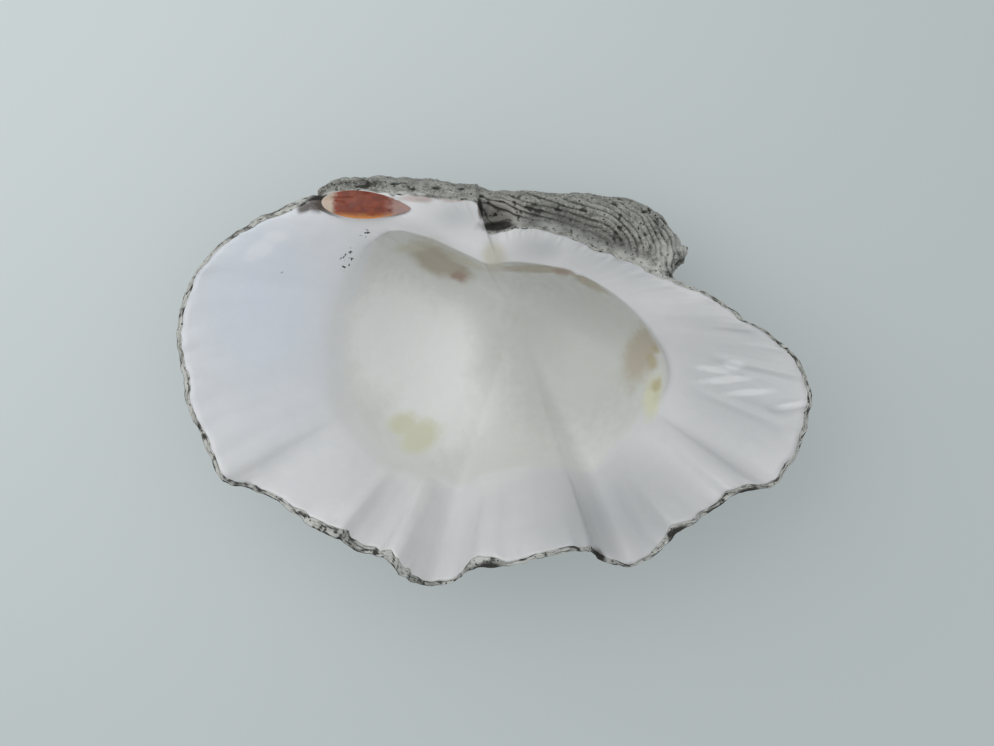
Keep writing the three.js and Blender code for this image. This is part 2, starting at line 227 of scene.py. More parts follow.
def marginRibs():  # angle, distance from the beak and height of the fold, at each rib's end
    out = np.radians(direction(fineBase[:, 0], fineBase[:, 1], shell["bodyCentre"]))
    shift = fineRim - fineBase
    outward = shift[:, 0] * np.cos(out) + shift[:, 1] * np.sin(out)
    fold = 0.6 * outward - 0.7 * shift[:, 2]
    fold = averaged(fold, int(round(shell["ribSmoothing"] / marginLength * fineCount)))
    angle = ribAngle(fineRim)
    keep = (fineRim[:, 1] < 60) & (angle < 1)
    order = np.argsort(angle[keep])
    table = np.stack([angle, fromBeak(fineRim), fold * smooth(0.98, 0.8, angle)], axis=-1)
    return table[keep][order]


ribs = marginRibs()


def ribHeight(p):
    angle = ribAngle(p)
    size = fromBeak(p) / np.interp(angle, ribs[:, 0], ribs[:, 1])
    height = np.interp(angle, ribs[:, 0], ribs[:, 2], left=0, right=0)
    return height * np.minimum(1, size) * smooth(0.2, 0.6, size)


umboTable = np.array([
    (direction(x, y, shell["bodyCentre"]), math.hypot(x - bodyX, y - bodyY)) for x, y in umboOutline])


def outerProfile(t, radius, height, degrees):  # distance from the body's centre line, and height
    turn = shell["widestAt"]
    wide = np.maximum(radius, np.interp(degrees, umboTable[:, 0], umboTable[:, 1], left=0, right=0))
    widest = np.minimum(height - 4, roundValue("widest", degrees))
    q = np.clip(t / turn, 0, 1) * math.pi / 2
    out = np.sin(q)
    hill = roundValue("hill", degrees) * 4 * out * (1 - out)
    upper = mix(radius, wide, out), height + hill - (height - widest) * (1 - np.cos(q))
    q = np.clip((t - turn) / (1 - turn), 0, 1) * math.pi / 2
    lower = wide * np.abs(np.cos(q)) ** 0.9, widest - (shell["outerDepth"] + widest) * np.sin(q) ** 0.95
    closed = [np.where(t < turn, a, b) for a, b in zip(upper, lower)]
    flare = roundValue("flare", degrees)
    opened = [radius * (1 - t), height - (height + shell["outerDepth"]) * (1 - (1 - t) ** flare)]
    k = roundValue("closed", degrees)
    return [mix(a, b, k) for a, b in zip(opened, closed)]


def outerSurface(rim, base, t):  # t runs down the first axis, the stations along the second
    degrees = direction(base[:, 0], base[:, 1], shell["bodyCentre"])[None, :]
    radius = np.hypot(base[:, 0] - bodyX, base[:, 1] - bodyY)[None, :]
    height = base[None, :, 2] - shell["edgeDrop"]
    cos, sin = np.cos(np.radians(degrees)), np.sin(np.radians(degrees))
    t = t[:, None] + 0 * degrees
    here = outerProfile(t, radius, height, degrees)
    ahead = outerProfile(np.minimum(1, t + 0.01), radius, height, degrees)
    behind = outerProfile(np.maximum(0, t - 0.01), radius, height, degrees)
    along = np.stack([a - b for a, b in zip(ahead, behind)])
    along /= np.maximum(1e-9, np.linalg.norm(along, axis=0))
    normal = np.stack([-along[1] * cos, -along[1] * sin, along[0]], axis=-1)
    point = np.stack([bodyX + here[0] * cos, bodyY + here[0] * sin, here[1]], axis=-1)
    for x, y, a, b, rise in beakBumps:
        near = np.exp(-((point[..., 0] - x) / a) ** 2 - ((point[..., 1] - y) / b) ** 2)
        point[..., 2] += rise * near * smooth(-45, -20, point[..., 2]) * smooth(0, 0.06, t)
    atMargin = 1 - smooth(0, 0.16, t)
    fold = ribHeight(point) * (1 - atMargin) * smooth(0.95, 0.6, t)
    point += normal * fold[..., None] + (rim - base)[None] * atMargin[..., None]
    return point


pallialShare = np.arange(shell["pallialSamples"]) / shell["pallialSamples"]
finePallial = spacedAlong(closedCurve(pallialLine), pallialShare)
pallialDegrees = np.mod(direction(finePallial[:, 0], finePallial[:, 1], shell["cavityCentre"]), 360)
pallialOrder = np.argsort(pallialDegrees)


def pallialPoint(degrees):
    x = pallialDegrees[pallialOrder]
    columns = [np.interp(np.mod(degrees, 360), x, finePallial[pallialOrder, k], period=360) for k in range(3)]
    return np.stack(columns, axis=-1)


def innerSurface(rim):  # lip, flange, step and hollow, ring by ring
    degrees = direction(rim[:, 0], rim[:, 1], shell["bodyCentre"])
    centre = np.array(shell["cavityCentre"], float)
    toCentre = centre - rim[:, :2]
    toCentre = np.column_stack([toCentre / np.linalg.norm(toCentre, axis=1)[:, None], 0 * degrees])
    lip = rim + toCentre * (roundValue("edge", degrees) * (1 + 0.4 * layered(rim, 11, 71)))[:, None]
    underNotch = smooth(70, 84, degrees) * smooth(114, 100, degrees)     # where stations crowd
    bearing = np.degrees(np.unwrap(np.radians(direction(rim[:, 0], rim[:, 1], centre))))
    evenTurn = np.arange(len(rim)) / len(rim) * 360
    spreadReach, hollowReach = shell["notchSmoothing"]
    spread = averaged(np.maximum.accumulate(bearing) - evenTurn, spreadReach) + evenTurn
    line = pallialPoint(mix(bearing, spread, underNotch))
    foot = line - toCentre * roundValue("undercut", degrees)[:, None]
    foot[:, 2] -= roundValue("step", degrees)
    rings = []
    for v in np.linspace(0, 1, shell["flangeRings"] + 1):
        ring = mix(lip, line, v)
        ring[:, 2] = mix(lip[:, 2], line[:, 2], v ** roundValue("shelf", degrees))
        rings.append(ring)
    rings.append(mix(line, foot, 0.5))
    for w in np.arange(shell["cavityRings"]) / shell["cavityRings"]:
        ring = foot.copy()
        ring[:, :2] = mix(foot[:, :2], centre, w)
        ring[:, 2] = mix(foot[:, 2], -shell["floorDepth"], 1 - (1 - w) ** roundValue("wall", degrees))
        ring[:, 2] = mix(ring[:, 2], averaged(ring[:, 2], shell["floorSmoothing"]), smooth(0, 0.14, w))
        ring = mix(ring, averaged(ring, hollowReach), (underNotch * smooth(0, 0.12, w))[:, None])
        rings.append(ring)
    return rings


def atShares(values, share):  # entries of a closed list of fine margin values at the given shares
    loop = np.concatenate([values, values[:1]])
    where = np.append(fineShare, 1)
    return np.stack([np.interp(share, where, loop[:, k]) for k in range(loop.shape[1])], axis=-1)


def stationShares():  # more stations over the hinge and umbo, where the outside is finely ribbed
    degrees = np.mod(fineDegrees, 360)
    crowd = 1 + shell["umboCrowding"] * smooth(0, 14, degrees) * smooth(160, 140, degrees)
    step = np.linalg.norm(np.roll(fineRim, -1, 0) - fineRim, axis=1) * crowd
    length = np.concatenate([[0], np.cumsum(step)])
    even = np.arange(shell["stations"]) / shell["stations"] * length[-1]
    return np.interp(even, length, np.append(fineShare, 1))


def noiseAt(p, size, seed=1):  # smooth noise, -1 to 1, in lumps of about the given size
    q = p / size + 100
    cell = np.floor(q).astype(np.int64)
    k = smooth(0, 1, q - cell)
    total = 0
    for corner in np.ndindex(2, 2, 2):
        c = cell + corner
        h = c[..., 0] * 73856093 ^ c[..., 1] * 19349663 ^ c[..., 2] * 83492791 ^ seed * 50331653
        h = (h ^ h >> 13) * 1274126177 & 0x7FFFFFFF
        h = (h ^ h >> 15) * 668265263 & 0x7FFFFFFF
        value = (h >> 7 & 0xFFFF) / 32767.5 - 1
        total = total + value * np.prod(np.where(corner, k, 1 - k), axis=-1)
    return total


def layered(p, size, seed=1, octaves=3):
    return sum(noiseAt(p, size / 2 ** n, seed + 7 * n) / 2 ** n for n in range(octaves))


def gridNormals(grid):  # outward normals of the rings, bottom to floor
    alongRing = np.roll(grid, -1, 1) - np.roll(grid, 1, 1)
    across = np.gradient(grid, axis=0)
    normal = np.cross(alongRing, across)
    return normal / np.maximum(1e-9, np.linalg.norm(normal, axis=-1))[..., None]


# the surface's fine relief, in mm
relief = {
    "growthLength": 190,      # beak to margin, along the surface
    "lamellaSpacing": 7.5,    # concentric growth scales of the outside
    "lamellaHeight": 1.1,
    "ribletsPerRadian": 22,   # fine radial riblets of the outside
    "ribletHeight": 0.45,
    "umboRibSpacing": 3.1,    # the crowded ribs that sweep round the umbo
    "umboRibDepth": 2.3,
    "umboRibLine": ((-8, 78, -12), (44, 59, -12)),
    "lumpHeight": 0.7,
    "pitDepth": 0.5,
    "marginChips": 0.8,
    "edgeLamina": 0.55,       # the layers that show in the broken edge
}

boreHoles = {
    "depth": 1.8,
    "at": [(31, 82.5), (12, 86), (47, 88), (-38, 94.5), (-19, 95.5), (66, 74), (72, 84)],     # x, y
}


def growthOf(p):  # how old the margin was that laid this point down: 0 at the beak, 1 at the margin
    return fromBeak(p) / np.interp(ribAngle(p), ribs[:, 0], ribs[:, 1])


def lineReach(p, a, b):  # distance from a straight line, rounded at both ends
    a, b = np.array(a, float), np.array(b, float)
    along = np.clip((p - a) @ (b - a) / ((b - a) @ (b - a)), 0, 1)
    return np.linalg.norm(p - a - along[..., None] * (b - a), axis=-1)


def erodedShare(degrees):  # the worn end of the umbo
    return smooth(30, 18, degrees) * smooth(2, 10, degrees)


def outsideRelief(p, down):  # height along the normal, and painted shade: a share that darkens the foot of each scale, the low flakes, the grooves and the pits
    degrees = direction(p[..., 0], p[..., 1], shell["bodyCentre"])
    onUmbo = smooth(-2, 14, degrees) * smooth(100, 88, degrees) * smooth(0.01, 0.05, down)
    onHinge = smooth(88, 100, degrees) * smooth(176, 160, degrees)
    onFlare = 1 - smooth(-2, 14, degrees) * smooth(176, 160, degrees)
    inPocket = np.exp(-((p[..., 0] - 3) / 9) ** 2 - ((p[..., 1] - 81) / 7) ** 2)
    growth = growthOf(p) * relief["growthLength"] + 2.2 * layered(p, 22, 11)
    phase = growth / relief["lamellaSpacing"]
    scale = (phase - np.floor(phase)) ** 2.5
    patchy = smooth(-0.6, 0.5, layered(p, 26, 3))
    lamella = relief["lamellaHeight"] * scale * patchy * onFlare
    riblet = np.cos(ribAngle(p) * relief["ribletsPerRadian"] * 2 * math.pi + noiseAt(p, 30, 5))
    riblet = relief["ribletHeight"] * riblet * smooth(0.15, 0.5, growth / relief["growthLength"]) * onFlare
    flakes = layered(p * (0.8, 1, 0.5), 5, 27, 4) * onHinge
    turns = (lineReach(p, *relief["umboRibLine"]) + 0.9 * layered(p, 18, 21, 3)) / relief["umboRibSpacing"]
    wave = np.abs(np.sin(math.pi * turns))
    whichRib = np.stack([np.rint(turns) * 5.3, p[..., 0] * 0.06, 0 * turns], axis=-1)
    groove = (1 - wave) ** 1.2 * (0.85 + 0.4 * noiseAt(whichRib, 1, 29))
    umboRib = -relief["umboRibDepth"] * groove
    eroded = erodedShare(degrees)
    lumps = layered(p, 9, 31, 4) * (1 + 1.4 * eroded) + 2.4 * eroded * layered(p, 5, 33)
    lumps = relief["lumpHeight"] * lumps
    pits = -relief["pitDepth"] * smooth(0.35, 0.75, layered(p, 3, 41, 2)) * (1 + 2 * eroded)
    umboRib = umboRib * (1 - 0.6 * eroded) * (1 - 0.85 * inPocket)
    height = mix(lamella + riblet + flakes, umboRib, onUmbo) + lumps + pits
    for x, y in boreHoles["at"]:
        near = np.exp(-((p[..., 0] - x) ** 2 + (p[..., 1] - y) ** 2) / 1.2)
        height = height - boreHoles["depth"] * near * (p[..., 2] > -30)
    # painted shade, deepest where the relief is lowest
    dark = mix((1 - scale) * onFlare, smooth(0.1, 1, -flakes) * 1.4, onHinge)
    dark = mix(dark, groove * 1.5, onUmbo) * 0.6 + smooth(0.1, 0.7, -pits / relief["pitDepth"]) * 0.5
    return height, np.clip(dark, 0, 1)


insideMarks = {
    "streaks": (-28, 4, 92, 142),       # degrees about the hollow's centre, and reach from it
    "streakHeight": 1.1,
    "tube": ((132.5, -11.5), (149, -8.7), 2.2),     # a worm's tube near the tip: ends, height
    "blister": (38.5, 52.2, 2.3, 1.7, 1.5),         # x, y, half-width in x and y, height
    "roughPatch": (-53, 70.5, 6, 5, 0.5),
}


def insideRelief(p, v):  # v is 0 at the lip, 1 at the pallial line, 2 in the middle
    centre = shell["cavityCentre"]
    degrees = direction(p[..., 0], p[..., 1], centre)
    far = np.hypot(p[..., 0] - centre[0], p[..., 1] - centre[1])
    low, high, near, end = insideMarks["streaks"]
    polar = np.stack([degrees * 2.2, far * 0.05, 0 * far], axis=-1)
    streak = smooth(0.1, 0.8, layered(polar, 4, 3, 2))
    inPatch = smooth(low, low + 8, degrees) * smooth(high, high - 6, degrees) * smooth(near, near + 14, far)
    height = insideMarks["streakHeight"] * streak * inPatch * smooth(end, end - 8, far)
    wrinkle = np.stack([degrees * 1.6, far * 0.08, 0 * far], axis=-1)
    height = height + 0.28 * layered(wrinkle, 3, 13, 2) * smooth(0.45, 0.05, v)
    height = height + 0.25 * layered(p, 34, 17, 3) + 0.05 * layered(p, 5, 19, 2)
    (x0, y0), (x1, y1), rise = insideMarks["tube"]
    along = np.clip(((p[..., 0] - x0) * (x1 - x0) + (p[..., 1] - y0) * (y1 - y0))
                    / ((x1 - x0) ** 2 + (y1 - y0) ** 2), 0, 1)
    off = np.hypot(p[..., 0] - mix(x0, x1, along), p[..., 1] - mix(y0, y1, along))
    height = height + rise * np.exp(-(off / 1.5) ** 2)
    x, y, a, b, rise = insideMarks["blister"]
    height = height + rise * np.exp(-((p[..., 0] - x) / a) ** 2 - ((p[..., 1] - y) / b) ** 2)
    x, y, a, b, rise = insideMarks["roughPatch"]
    patch = np.exp(-(((p[..., 0] - x) / a) ** 2 + ((p[..., 1] - y) / b) ** 2) ** 2)
    return height + rise * patch * layered(p, 3, 23, 2)


def softened(rings, rim):  # rounds the flange into the hollow where there is no step between them
    degrees = direction(rim[:, 0], rim[:, 1], shell["bodyCentre"])
    soft = roundValue("soften", degrees)
    rounded = rings.copy()
    for _ in range(shell["softenPasses"]):
        rounded[1:-1] = 0.5 * rounded[1:-1] + 0.25 * (rounded[:-2] + rounded[2:])
    away = np.abs(np.arange(len(rings)) - shell["flangeRings"] - 1)
    share = smooth(12, 4, away)[:, None] * soft[None]
    return mix(rings, rounded, share[..., None]), soft


def shellGrid():  # every ring of the valve from the lowest point to the floor, with what each point is
    share = stationShares()
    rim = spacedAlong(fineRim, share)
    base = atShares(fineBase, share)
    ragged = relief["marginChips"] * np.stack(
        [layered(rim, 7, 51), layered(rim, 7, 52), 1.3 * layered(rim, 6, 53)], axis=-1)
    upper, lower = shell["outerRings"]
    t = np.concatenate([np.linspace(0, shell["widestAt"], upper, endpoint=False),
                        np.linspace(shell["widestAt"], 1, lower, endpoint=False)])
    outside = outerSurface(rim, base, t)
    inside, soft = softened(np.stack(innerSurface(rim)), rim)
    acrossEdge = np.arange(1, shell["edgeRings"])[:, None] / shell["edgeRings"]
    edge = mix(outside[0][None], inside[0][None], acrossEdge[..., None])
    grid = np.concatenate([outside[::-1], edge, inside])
    flange = np.linspace(0, 1, shell["flangeRings"] + 1)
    toFloor = 1 + np.arange(shell["cavityRings"]) / shell["cavityRings"]
    v = np.concatenate([flange, [1.0], toFloor])[:, None] + 0 * share
    normals = gridNormals(grid)
    rows = len(t)
    down = t[::-1, None] + 0 * share
    rise = np.zeros(grid.shape[:2])
    dark = np.zeros(grid.shape[:2])
    rise[:rows], dark[:rows] = outsideRelief(grid[:rows], down)
    rise[:rows] *= smooth(0, 0.02, down) * smooth(1, 0.97, down)
    rise[-len(v):] = insideRelief(grid[-len(v):], v) * smooth(0, 0.06, v)
    layers = np.abs(np.sin(math.pi * (3.2 * acrossEdge + 1.1 * layered(edge, 16, 61))))
    broken = layered(edge, 3.4, 63, 3)
    rise[rows:rows + len(edge)] = relief["edgeLamina"] * (layers - 0.9 + 0.8 * broken)
    # the edge's painted shade: dark in the low lines between its layers, with random darker mottling
    dark[rows:rows + len(edge)] = np.clip(
        0.7 * smooth(0.45, 0.1, layers) + 0.6 * smooth(0.1, 0.6, layered(edge, 2.4, 64)), 0, 1)
    detailed = grid + normals * rise[..., None]
    nearMargin = np.concatenate([smooth(0.05, 0, down), np.ones(edge.shape[:2]), smooth(0.12, 0, v)])
    detailed = detailed + ragged[None] * nearMargin[..., None]
    detailed[..., 2] = np.maximum(detailed[..., 2], -shell["restingHeight"])
    isInside = np.zeros(grid.shape[:2])
    isInside[-len(v):] = 1
    hollow = np.zeros(grid.shape[:2])
    hollow[-len(v):] = mix(smooth(0.97, 1.08, v), smooth(0.7, 1.3, v), soft)
    onEdge = nearMargin * (1 - isInside)
    return grid, detailed, {"inside": isInside, "hollow": hollow, "groove": dark, "onEdge": onEdge}


def deselect():
    bpy.ops.object.select_all(action="DESELECT")


# the hollow valve is a ball pressed in from above: each ring of the ball becomes one ring of the shell
def pressedBall(name, grid, first, last):
    count, steps = grid.shape[:2]
    deselect()
    bpy.ops.mesh.primitive_uv_sphere_add(segments=steps, ring_count=count + 1, radius=1)
    ball = bpy.context.object
    ball.name = name
    was = np.empty(len(ball.data.vertices) * 3)
    ball.data.vertices.foreach_get("co", was)
    was = was.reshape(-1, 3)
    row = np.rint(np.arccos(np.clip(-was[:, 2], -1, 1)) / math.pi * (count + 1)).astype(int)
    turn = np.mod(np.arctan2(was[:, 1], was[:, 0]), 2 * math.pi) / (2 * math.pi)
    column = np.rint(turn * steps).astype(int) % steps
    place = grid[np.clip(row - 1, 0, count - 1), column]
    place[row == 0] = first
    place[row == count + 1] = last
    ball.data.vertices.foreach_set("co", (place * mm).ravel())
    ball.data.update()
    return ball, np.clip(row - 1, 0, count - 1), column


def paint(piece, name, values):  # a number on every point, for the materials
    layer = piece.data.attributes.new(name, "FLOAT", "POINT")
    layer.data.foreach_set("value", np.asarray(values, np.float32).ravel())


# the ligament, in mm, and the groove it lies in
ligament = {
    "x": -60.5, "y": 84, "z": -0.9,
    "length": 42, "width": 13, "turn": -4,
    "depth": 5.4,
    "crown": 0.9,         # rise over its outline
    "gap": 0.3,           # to the shell
    "emptyEnd": 5,        # how far it has shrunk from the groove's end
}


def ligamentTaper(cos):  # the drop narrows towards its right end, and a little at the left
    return 1 - 0.25 * cos - 0.2 * cos ** 2


def ligamentShare(x, y, grow):  # 0 in the middle of the drop-shaped outline, 1 on it
    turn = math.radians(ligament["turn"])
    dx, dy = x - ligament["x"], y - ligament["y"]
    a = dx * math.cos(turn) + dy * math.sin(turn)
    b = dy * math.cos(turn) - dx * math.sin(turn)
    cos = np.clip(a / (ligament["length"] / 2 + grow), -1, 1)
    halfWidth = ligamentTaper(cos) * (ligament["width"] / 2 + grow)
    return np.hypot(a / (ligament["length"] / 2 + grow), b / halfWidth)


def cutGroove(p):  # the groove the ligament lies in, with the empty end the ligament has shrunk from
    inGroove = np.zeros(p.shape[:-1], bool)      # the shares it gives back darken the groove, full at that end
    for shift, grow in ((0, ligament["gap"] + 0.1), (ligament["emptyEnd"], -1.2)):
        share = ligamentShare(p[..., 0] + shift, p[..., 1], grow)
        bottom = ligament["z"] - (ligament["depth"] + grow) * (1 - share ** 2)
        under = (share < 1) & (p[..., 2] > -20)
        p[..., 2] = np.where(under, np.minimum(p[..., 2], bottom), p[..., 2])
        inGroove |= under
    return inGroove * smooth(-70, -82, p[..., 0])


# colour patches of the top: x, y, half-width in x and y, turn in degrees
patches = {
    "cool": [(-112, 40, 42, 60, 0)],
    "dull": [(60, -62, 60, 34, 15), (118, 0, 52, 60, 0), (60, 62, 60, 15, -22), (24, 66, 16, 8, 0),
             (-18, 80, 17, 9, 0)],
    "cloud": [(-48, 22, 30, 34, 0), (-30, -10, 26, 26, 20), (-26, 18, 18, 26, 0)],
    "olive": [(-37, -26, 11, 8, 25), (-45, -20, 8, 6, 0), (77, -6, 4, 12, -12)],
    "amber": [(77, 12, 1.8, 12, -20), (79, -3, 1.9, 9, 0)],
    # painted highlights: small white streaks and spots where the glossy ridges by the tip, two facets on the
    # left and two crests' tips catch the light
    "paintedHighlight": [(110, 2, 13, 1.8, 5), (105, 7, 9, 1.6, -8), (141, -10, 9, 1.8, 9), (114, 9, 5, 2.4, 0),
              (121, -4, 12, 1.6, 4), (-112, 64, 9, 4, 30), (-104, 70, 7, 3, 10), (-4, -88, 8, 3, 25),
              (48, -82, 9, 3, -15)],
    "tan": [(-30, 61.5, 14, 7, -28), (-19, 56, 9, 4.5, -22), (71, 15, 7, 17, -16), (74, 15, 4, 12, -18),
            (24, 56.2, 26, 1.8, -2), (45, 50, 12, 1.8, -30)],
    "straw": [(-0.5, 61.5, 6, 6.5, 0), (-14, 60.3, 13, 1.5, -24), (-40, 67, 12, 2, 10)],
    "rust": [(-18, 53.5, 4, 3, 0), (33, 54.6, 6, 1.4, -12), (-36, 88, 9, 2, 0), (-20, 87.5, 6, 1.2, 0)],
    "speck": [(-71.5, 60, 3, 6.5, -25), (-61.5, 72, 4, 1.8, 30), (-100.5, 53, 1.6, 1.4, 0)],
    "greenish": [(40, 15, 46, 44, 0), (12, 62, 34, 5, -6)],
    # painted shadow in the pocket in front of the beak, with dark spots at the ligament groove's left end,
    # along the hinge and at the margin's corners
    "shadowAndDarkSpots": [(1, 75.6, 8.5, 2.8, 6), (-7, 83.5, 1.3, 5.5, 5), (-84.5, 86, 5, 4.5, 20), (-90, 84, 4, 2.5, 35),
             (-38.7, 92.6, 1.1, 0.8, 10), (-28, 93, 2, 0.8, -8), (-16, 92.6, 1.6, 0.7, 5),
             (-5, -88, 9, 4, 20), (48.6, -81.5, 4.5, 3, -40), (87, -70.5, 6, 4, 30),
             (119.5, -51.5, 7, 2.4, 10), (-66, -81, 9, 2.5, -30)],
    "pocketWall": [(4, 84, 10, 6.5, 0)],
    # painted shade in the grooves of the umbo just above the byssal rim
    "paintedGrooveShade": [(34, 78, 17, 5, -22), (60, 66, 16, 4, -24), (46, 71, 10, 3.5, -20), (17, 78, 7, 3, -5)],
}


def patchShare(p, name):
    total = np.zeros(p.shape[:-1])
    for x, y, a, b, turn in patches[name]:
        turn = math.radians(turn)
        dx, dy = p[..., 0] - x, p[..., 1] - y
        u = (dx * math.cos(turn) + dy * math.sin(turn)) / a
        v = (dy * math.cos(turn) - dx * math.sin(turn)) / b
        total = np.maximum(total, np.exp(-(u ** 2 + v ** 2)))
    if name in ("shadowAndDarkSpots", "pocketWall", "paintedGrooveShade"):
        total = total * smooth(-28, -14, p[..., 2])      # marks and painted shade of the top, not of the wall under it
    return total


def makeValve():
    grid, detailed, kinds = shellGrid()
    low, high = np.array(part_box("valve")) / mm
    lift = (low + high) / 2 - (grid.min((0, 1)) + grid.max((0, 1))) / 2
    lift[2] = low[2] + shell["restingHeight"]
    kinds["groove"] = np.maximum(cutGroove(detailed), kinds["groove"])
    plan = detailed.copy()
    least, most = detailed.min((0, 1)) + lift, detailed.max((0, 1)) + lift
    shrink = np.minimum(1, (high - low) / (most - least))      # the relief stays within the solid's box
    middle = (least + most) / 2 - lift
    detailed = (detailed - middle) * shrink + middle + ((low + high) - (least + most)) / 2
    first = detailed[0].mean(0)
    last = detailed[-1].mean(0)
    valve, row, column = pressedBall("valve_shell", detailed + lift, first + lift, last + lift)
    for name, values in kinds.items():
        paint(valve, name, values[row, column])
    for name in patches:
        paint(valve, name, patchShare(plan, name)[row, column])
    degrees = np.mod(direction(plan[..., 0], plan[..., 1], shell["bodyCentre"]), 360)
    paint(valve, "eroded", erodedShare(degrees)[row, column])
    bpy.ops.object.shade_smooth()
    return valve, lift


def makeLigament(lift):
    deselect()
    bpy.ops.mesh.primitive_uv_sphere_add(segments=120, ring_count=60, radius=1)
    band = bpy.context.object
    band.name = "ligament_band"
    co = np.empty(len(band.data.vertices) * 3)
    band.data.vertices.foreach_get("co", co)
    co = co.reshape(-1, 3)
    flat = np.hypot(co[:, 0], co[:, 1])
    cos = co[:, 0] / np.maximum(flat, 1e-6)
    a = co[:, 0] * ligament["length"] / 2
    b = co[:, 1] * ligament["width"] / 2 * ligamentTaper(cos)
    turn = math.radians(ligament["turn"])
    x = ligament["x"] + a * math.cos(turn) - b * math.sin(turn)
    y = ligament["y"] + a * math.sin(turn) + b * math.cos(turn)
    height = np.where(co[:, 2] > 0, ligament["crown"], ligament["depth"])
    z = ligament["z"] + np.sign(co[:, 2]) * height * (1 - flat ** 2)
    place = np.stack([x, y, z], axis=-1)
    cracks = -0.5 * smooth(0.3, 0.8, layered(place * (0.35, 1, 1), 3, 61, 2)) - 0.15
    top = smooth(0, 0.3, co[:, 2]) * smooth(1, 0.85, flat)
    place[:, 2] += cracks * top
    band.data.vertices.foreach_set("co", ((place + lift) * mm).ravel())
    band.data.update()
    paint(band, "alongBand", co[:, 0])
    paint(band, "acrossBand", co[:, 1])
    bpy.ops.object.shade_smooth()
    return band


def linear(hexColour):
    parts = [int(hexColour[k:k + 2], 16) / 255 for k in (0, 2, 4)]
    return tuple(c / 12.92 if c <= 0.04045 else ((c + 0.055) / 1.055) ** 2.4 for c in parts) + (1,)


def setInputs(tree, node, inputs):  # a socket is linked, a hex colour made linear, a number set
    for name, value in inputs.items():
        if isinstance(value, bpy.types.NodeSocket):
            tree.links.new(value, node.inputs[name])
        else:
            node.inputs[name].default_value = linear(value) if isinstance(value, str) else value


def addNode(tree, kind, inputs=None, out=0, **settings):
    node = tree.nodes.new("ShaderNode" + kind)
    for name, value in settings.items():
        setattr(node, name, value)
    setInputs(tree, node, inputs or {})
    return node.outputs[out]


def newMaterial(name):
    material = bpy.data.materials.new(name)
    material.use_nodes = True
    tree = material.node_tree
    return material, tree, tree.nodes["Principled BSDF"]


def laidOver(tree, colour, layers):  # each layer's colour over the ones before, by its share
    for share, tint in layers:
        colour = addNode(tree, "Mix", {0: share, 6: colour, 7: tint}, 2, data_type="RGBA")
    return colour


# What many nodes share. A Map Range takes a value at 0, its low and high at 1 and 2,
# and the most that it gives at 4.
eased = {"interpolation_type": "SMOOTHSTEP"}
product = {"operation": "MULTIPLY"}
scaledSum = {"operation": "MULTIPLY_ADD"}
grain = {"Roughness": 0.55}       # of a noise; noise sizes are in mm


def porcelainAragonite():
    # the dense inner layer of a clam: white, waxy and a little clear, duller in the old hollow
    material, tree, surface = newMaterial("porcelain_aragonite")
    place = addNode(tree, "TexCoord", out="Object")
    # real stains, with painted highlights and the painted shadow and dark spots among them
    stainsAndPaintedLight = {"greenish": ("b8bab5", 0.85), "cloud": ("e4e4e3", 0.95), "tan": ("aaa18f", 0.85),
              "olive": ("cdcdb2", 0.85), "paintedHighlight": ("f2f2f4", 0.34), "straw": ("c2bfae", 0.75),
              "amber": ("a3966a", 0.6), "rust": ("957264", 0.5), "shadowAndDarkSpots": ("463c34", 0.9)}
    mark = {name: addNode(tree, "Attribute", out="Fac", attribute_name=name)
            for name in ("hollow", "groove", "cool", "dull", "speck", *stainsAndPaintedLight)}
    clouds, fine, dots, ripples = [
        addNode(tree, "TexNoise", {"Vector": place, "Scale": 1 / (size * mm), "Detail": detail, **grain})
        for size, detail in ((26, 5), (5, 4), (1.7, 2), (9, 3))]
    hollow = addNode(tree, "Math", {0: clouds, 1: 0.5, 2: mark["hollow"]}, **scaledSum)
    inHollow = addNode(tree, "MapRange", {0: hollow, 1: 0.45, 2: 1.05}, **eased)
    layers = [(addNode(tree, "MapRange", {0: clouds, 1: 0.35, 2: 0.7}, **eased), "e0dfdf"),
              (addNode(tree, "Math", {0: mark["cool"], 1: 0.9}, **product), "d3dae4"),
              (addNode(tree, "Math", {0: mark["dull"], 1: 0.85}, **product), "b4b6b8"),
              (inHollow, "cfd0cc")]
    for name, (tint, strength) in stainsAndPaintedLight.items():
        broken = addNode(tree, "Math", {0: fine, 1: 0.45, 2: mark[name]}, **scaledSum)
        share = addNode(tree, "MapRange", {0: broken, 1: 0.345, 2: 0.975, 4: strength}, **eased)
        if name in ("greenish", "cloud", "tan", "amber"):
            share = addNode(tree, "Math", {0: share, 1: inHollow}, **product)
        layers.append((share, tint))
    inSpecks = addNode(tree, "MapRange", {0: mark["speck"], 1: 0.3, 2: 0.6}, **eased)
    onDots = addNode(tree, "MapRange", {0: dots, 1: 0.57, 2: 0.63}, **eased)
    layers += [(addNode(tree, "Math", {0: inSpecks, 1: onDots}, **product), "34332f"),
               # the ligament's groove, darker towards its empty end
               (addNode(tree, "Math", {0: mark["groove"], 1: 0.9}, **product), "43362d")]
    height = addNode(tree, "Math", {0: dots, 1: 0.08, 2: ripples}, **scaledSum)
    setInputs(tree, surface, {
        "Base Color": laidOver(tree, "d9d9da", layers),
        "Roughness": addNode(tree, "MapRange", {0: fine, 1: 0.3, 2: 0.75, 3: 0.34, 4: 0.5}, **eased),
        "IOR": 1.53,
        "Subsurface Weight": 0.12, "Subsurface Radius": (1, 0.9, 0.8), "Subsurface Scale": 0.003,
        "Normal": addNode(tree, "Bump", {"Height": height, "Strength": 0.35, "Distance": 0.8 * mm})})
    return material


